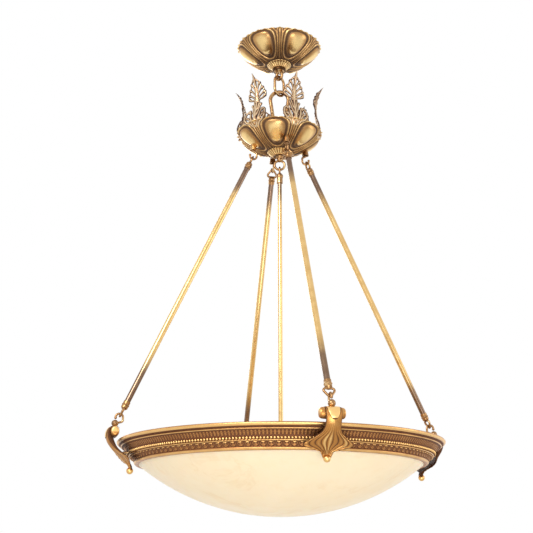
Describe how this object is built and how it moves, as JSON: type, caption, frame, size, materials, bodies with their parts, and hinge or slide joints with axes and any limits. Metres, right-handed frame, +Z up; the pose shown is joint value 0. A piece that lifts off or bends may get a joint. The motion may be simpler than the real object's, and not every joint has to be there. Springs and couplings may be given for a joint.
{
  "type": "bowl pendant ceiling light",
  "caption": "Stone bowl in a moulded brass ring, hung by hooked rods from a leafed crown, with a chain link and a ribbed canopy above and a lamp stem inside.",
  "frame": {"origin": "centre of the two box-screw slots, on the crossbar's top face, in the ceiling plane", "axes": "+Z up into the ceiling; the front rod stands on -Y and the right rod on +X"},
  "size_m": [0.768, 0.768, 1.1306],
  "materials": {
    "antique_brass": "antique gold with dark brown patina in the recesses",
    "dark_brass": "dark bronze patina, satin",
    "rod_brass": "satin, golden in the middle and dark at both ends",
    "alabaster": "polished cream alabaster with faint veins",
    "zinc_steel": "zinc plated",
    "green_screw": "green ground screw",
    "cluster_metal": "satin bronze",
    "holder_shell": "matt",
    "lamp_glass": "frosted"
  },
  "bodies": {
    "ceiling_mount": {"crossbar": "zinc_steel", "crossbar_nipple": "zinc_steel", "nipple_locknut": "zinc_steel", "ground_screw": "green_screw", "canopy_loop": "antique_brass"},
    "canopy": {"canopy": "antique_brass"},
    "collar": {"canopy_collar": "dark_brass"},
    "link": {"chain_link": "antique_brass"},
    "crown": {"crown_dish": "antique_brass", "crown_bail": "antique_brass", "crown_leaf_1": "antique_brass", "crown_leaf_2": "antique_brass", "crown_leaf_3": "antique_brass", "crown_leaf_4": "antique_brass", "crown_leaf_5": "antique_brass", "crown_leaf_6": "antique_brass", "leaf_screws": "antique_brass", "hook_bell_front": "antique_brass", "hook_bell_right": "antique_brass", "hook_bell_back": "antique_brass", "hook_bell_left": "antique_brass", "crown_hook_front": "antique_brass", "crown_hook_right": "antique_brass", "crown_hook_back": "antique_brass", "crown_hook_left": "antique_brass", "hook_nuts": "antique_brass", "crown_loop": "antique_brass"},
    "bowl": {"bowl_ring": "antique_brass", "alabaster_bowl": "alabaster", "bracket_front": "antique_brass", "bracket_right": "antique_brass", "bracket_back": "antique_brass", "bracket_left": "antique_brass", "bracket_hook_front": "antique_brass", "bracket_hook_right": "antique_brass", "bracket_hook_back": "antique_brass", "bracket_hook_left": "antique_brass", "bracket_screws": "antique_brass"},
    "rod_front": {"rod_top_eye_front": "antique_brass", "rod_tube_front": "rod_brass", "rod_bottom_eye_front": "antique_brass"},
    "rod_right": {"rod_top_eye_right": "antique_brass", "rod_tube_right": "rod_brass", "rod_bottom_eye_right": "antique_brass"},
    "rod_back": {"rod_top_eye_back": "antique_brass", "rod_tube_back": "rod_brass", "rod_bottom_eye_back": "antique_brass"},
    "rod_left": {"rod_top_eye_left": "antique_brass", "rod_tube_left": "rod_brass", "rod_bottom_eye_left": "antique_brass"},
    "lamp_stem": {"stem_eye": "antique_brass", "stem_tube": "rod_brass", "cluster_body": "cluster_metal", "cluster_cap": "cluster_metal", "lamp_holder_front": "holder_shell", "lamp_holder_right": "holder_shell", "lamp_holder_back": "holder_shell", "lamp_holder_left": "holder_shell", "lamps": "lamp_glass"}
  },
  "joints": [
    {"name": "canopy_slide", "type": "slide", "parent": "ceiling_mount", "child": "canopy", "axis": [0, 0, 1], "range_m": [-0.012, 0]},
    {"name": "collar_slide", "type": "slide", "parent": "ceiling_mount", "child": "collar", "axis": [0, 0, 1], "range_m": [-0.012, 0]},
    {"name": "link_swing", "type": "hinge", "parent": "ceiling_mount", "child": "link", "pos_m": [0, 0, -0.0853], "axis": [-0.515, 0.8572, 0], "range_deg": [-10, 10]},
    {"name": "crown_swing", "type": "hinge", "parent": "link", "child": "crown", "pos_m": [0, 0, -0.1196], "axis": [0.9703, -0.2419, 0], "range_deg": [-10, 10]},
    {"name": "bowl_twist", "type": "hinge", "parent": "crown", "child": "bowl", "pos_m": [0, 0, -0.98], "axis": [0, 0, 1], "range_deg": [-7.5, 7.5], "stiffness_Nm_per_rad": 5},
    {"name": "rod_turn_front", "type": "hinge", "parent": "crown", "child": "rod_front", "pos_m": [0, -0.0645, -0.2964], "axis": [0, -0.0811, 0.9967], "range_deg": [-8.6, 8.6]},
    {"name": "rod_turn_right", "type": "hinge", "parent": "crown", "child": "rod_right", "pos_m": [0.0645, 0, -0.2964], "axis": [0.0811, 0, 0.9967], "range_deg": [-8.6, 8.6]},
    {"name": "rod_turn_back", "type": "hinge", "parent": "crown", "child": "rod_back", "pos_m": [0, 0.0645, -0.2964], "axis": [0, 0.0811, 0.9967], "range_deg": [-8.6, 8.6]},
    {"name": "rod_turn_left", "type": "hinge", "parent": "crown", "child": "rod_left", "pos_m": [-0.0645, 0, -0.2964], "axis": [-0.0811, 0, 0.9967], "range_deg": [-8.6, 8.6]},
    {"name": "stem_swing", "type": "hinge", "parent": "crown", "child": "lamp_stem", "pos_m": [0, 0, -0.3247], "axis": [0.9703, -0.2419, 0], "range_deg": [-3, 3]}
  ],
  "couplings": [
    {"joint": "canopy_slide", "follows": "collar_slide", "ratio": 1},
    {"joint": "rod_turn_front", "follows": "bowl_twist", "ratio": 1.042},
    {"joint": "rod_turn_right", "follows": "bowl_twist", "ratio": 1.042},
    {"joint": "rod_turn_back", "follows": "bowl_twist", "ratio": 1.042},
    {"joint": "rod_turn_left", "follows": "bowl_twist", "ratio": 1.042}
  ]
}
